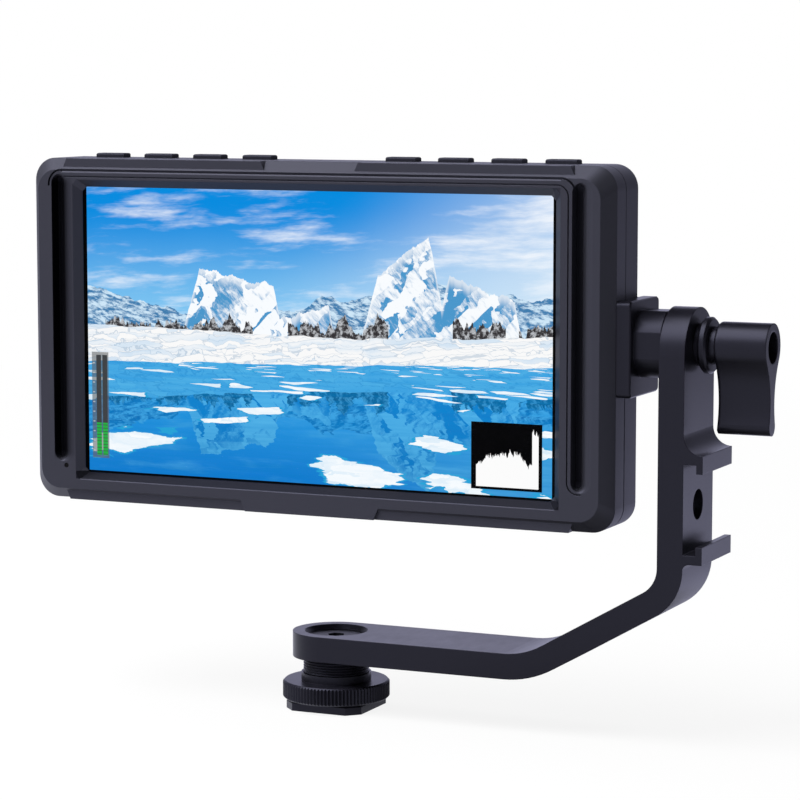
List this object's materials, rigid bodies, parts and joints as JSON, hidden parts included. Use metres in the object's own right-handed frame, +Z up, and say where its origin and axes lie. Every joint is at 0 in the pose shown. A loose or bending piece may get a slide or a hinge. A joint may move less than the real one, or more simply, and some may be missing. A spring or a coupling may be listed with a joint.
{
  "type": "camera field monitor",
  "caption": "Flat camera-top video monitor hung on a bent tilt arm with a lever clamp, and a shoe foot with a knurled lock wheel.",
  "frame": {"origin": "centre of the shoe foot's underside", "axes": "+X to the viewer's right, along the tilt axis, from the foot to the clamp lever; the screen faces -Y; +Z up"},
  "size_m": [0.1679, 0.0277, 0.1201],
  "materials": {
    "foot_black": "satin black anodised",
    "wheel_black": "satin black anodised, knurled",
    "grip_rubber": "matte",
    "arm_black": "fine brushed black anodised",
    "screw_black": "black oxide",
    "insert_brass": "turned",
    "plate_black": "satin black anodised",
    "washer_black": "matte",
    "screw_steel": "turned",
    "washer_metal": "satin black anodised",
    "lever_black": "satin black anodised",
    "frame_black": "fine matte",
    "led_dark": "smoked, unlit",
    "gasket_black": "matte",
    "glass_clear": "clear",
    "lcd_dark": "showing a picture",
    "light_white": "matte",
    "bracket_steel": "sheet",
    "cover_black": "fine matte",
    "board_green": "solder mask",
    "tact_black": "moulded",
    "sink_metal": "plain",
    "port_metal": "plated",
    "jack_black": "moulded",
    "plate_plastic": "fine matte",
    "contact_brass": "gold plated",
    "latch_plastic": "matte",
    "spring_steel": "plated",
    "key_black": "matte"
  },
  "bodies": {
    "mount_arm": {"shoe_foot": "foot_black", "tilt_arm": "arm_black", "arm_screw": "screw_black", "friction_washer": "washer_black"},
    "grip": {"grip_washer": "grip_rubber"},
    "wheel": {"lock_wheel": "wheel_black"},
    "clamp": {"clamp_screw": "screw_steel", "flange_washer": "washer_metal", "clamp_lever": "lever_black", "lever_screw": "screw_black"},
    "monitor": {"adapter_plate": "plate_black", "side_insert": "insert_brass", "front_frame": "frame_black", "power_led": "led_dark", "screen_gasket": "gasket_black", "screen_glass": "glass_clear", "lcd_panel": "lcd_dark", "backlight": "light_white", "screen_bracket": "bracket_steel", "rear_cover": "cover_black", "case_screws": "screw_black", "key_board": "board_green", "tact_switches": "tact_black", "main_board": "board_green", "heat_sink": "sink_metal", "hdmi_in": "port_metal", "hdmi_out": "port_metal", "headphone_jack": "jack_black", "power_jack": "jack_black", "battery_plate": "plate_plastic", "plate_screws": "screw_black", "battery_contacts": "contact_brass", "latch_spring": "spring_steel"},
    "latch": {"battery_latch": "latch_plastic"},
    "key_1_body": {"key_1": "key_black"},
    "key_2_body": {"key_2": "key_black"},
    "key_3_body": {"key_3": "key_black"},
    "key_4_body": {"key_4": "key_black"},
    "key_5_body": {"key_5": "key_black"},
    "key_6_body": {"key_6": "key_black"},
    "key_7_body": {"key_7": "key_black"},
    "key_8_body": {"key_8": "key_black"}
  },
  "joints": [
    {"name": "washer_slide", "type": "slide", "parent": "mount_arm", "child": "grip", "axis": [0, 0, 1], "range_m": [0, 0.003]},
    {"name": "wheel_spin", "type": "hinge", "parent": "grip", "child": "wheel", "pos_m": [0, 0, 0.005], "axis": [0, 0, 1], "range_deg": [0, 1080]},
    {"name": "monitor_tilt", "type": "hinge", "parent": "mount_arm", "child": "monitor", "pos_m": [0.0772, 0, 0.0826], "axis": [1, 0, 0], "range_deg": [-180, 180]},
    {"name": "lever_turn", "type": "hinge", "parent": "mount_arm", "child": "clamp", "pos_m": [0.09, 0, 0.0826], "axis": [1, 0, 0], "range_deg": [0, 360]},
    {"name": "latch_slide", "type": "slide", "parent": "monitor", "child": "latch", "axis": [0, 0, -1], "range_m": [0, 0.003], "stiffness_N_per_m": 250, "springref_m": -0.001, "deforming": ["latch_spring"]},
    {"name": "key_1_press", "type": "slide", "parent": "monitor", "child": "key_1_body", "axis": [0, 0, -1], "range_m": [0, 0.0004], "stiffness_N_per_m": 400, "springref_m": -0.0005},
    {"name": "key_2_press", "type": "slide", "parent": "monitor", "child": "key_2_body", "axis": [0, 0, -1], "range_m": [0, 0.0004], "stiffness_N_per_m": 400, "springref_m": -0.0005},
    {"name": "key_3_press", "type": "slide", "parent": "monitor", "child": "key_3_body", "axis": [0, 0, -1], "range_m": [0, 0.0004], "stiffness_N_per_m": 400, "springref_m": -0.0005},
    {"name": "key_4_press", "type": "slide", "parent": "monitor", "child": "key_4_body", "axis": [0, 0, -1], "range_m": [0, 0.0004], "stiffness_N_per_m": 400, "springref_m": -0.0005},
    {"name": "key_5_press", "type": "slide", "parent": "monitor", "child": "key_5_body", "axis": [0, 0, -1], "range_m": [0, 0.0004], "stiffness_N_per_m": 400, "springref_m": -0.0005},
    {"name": "key_6_press", "type": "slide", "parent": "monitor", "child": "key_6_body", "axis": [0, 0, -1], "range_m": [0, 0.0004], "stiffness_N_per_m": 400, "springref_m": -0.0005},
    {"name": "key_7_press", "type": "slide", "parent": "monitor", "child": "key_7_body", "axis": [0, 0, -1], "range_m": [0, 0.0004], "stiffness_N_per_m": 400, "springref_m": -0.0005},
    {"name": "key_8_press", "type": "slide", "parent": "monitor", "child": "key_8_body", "axis": [0, 0, -1], "range_m": [0, 0.0004], "stiffness_N_per_m": 400, "springref_m": -0.0005}
  ],
  "couplings": [
    {"joint": "washer_slide", "follows": "wheel_spin", "m_per_rad": 0.00015915}
  ]
}
